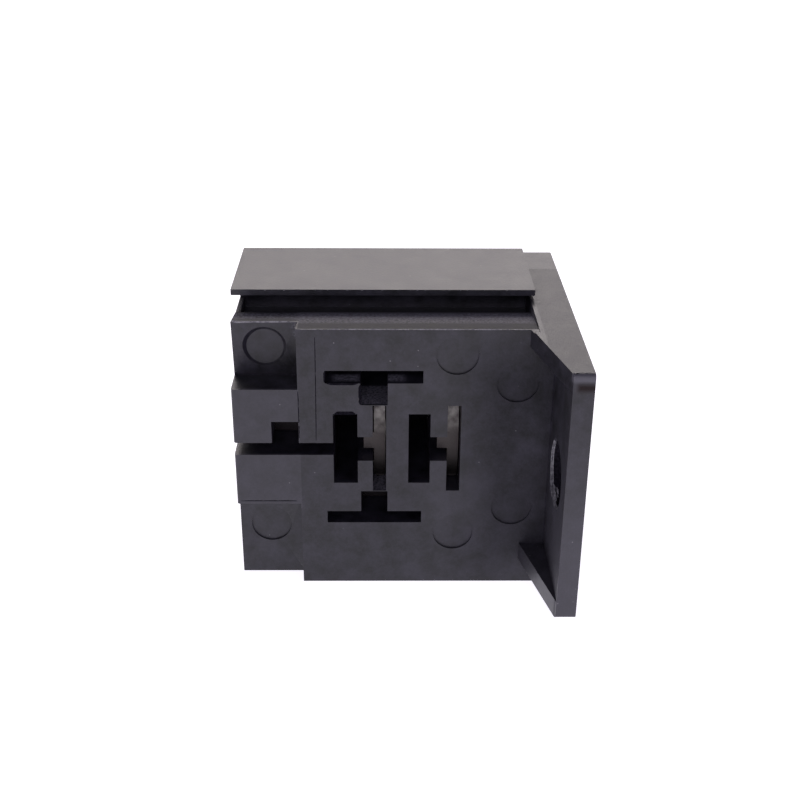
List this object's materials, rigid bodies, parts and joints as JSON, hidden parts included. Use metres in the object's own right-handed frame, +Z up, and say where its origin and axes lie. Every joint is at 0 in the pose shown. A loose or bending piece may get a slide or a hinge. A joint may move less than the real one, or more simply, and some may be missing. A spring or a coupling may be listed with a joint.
{
  "type": "relay socket",
  "caption": "Block-shaped automotive relay socket with T-shaped terminal chambers in its wire face, blade slots in its relay face and a drilled side flange.",
  "frame": {"origin": "centre of the bounding box's footprint, on the flat underside that it stands on", "axes": "+X to the right along the wire face and out of the flange's outer face, +Y from the wire face to the relay face, +Z up"},
  "size_m": [0.0362, 0.0344, 0.0318],
  "materials": {
    "nylon_black": "moulded black nylon, satin with fine scuffs",
    "tinned_brass": "dull tin plating over brass strip"
  },
  "bodies": {
    "root": {"housing": "nylon_black", "terminal_30": "tinned_brass", "terminal_85": "tinned_brass", "terminal_86": "tinned_brass", "terminal_87": "tinned_brass", "terminal_87a": "tinned_brass"}
  },
  "joints": []
}
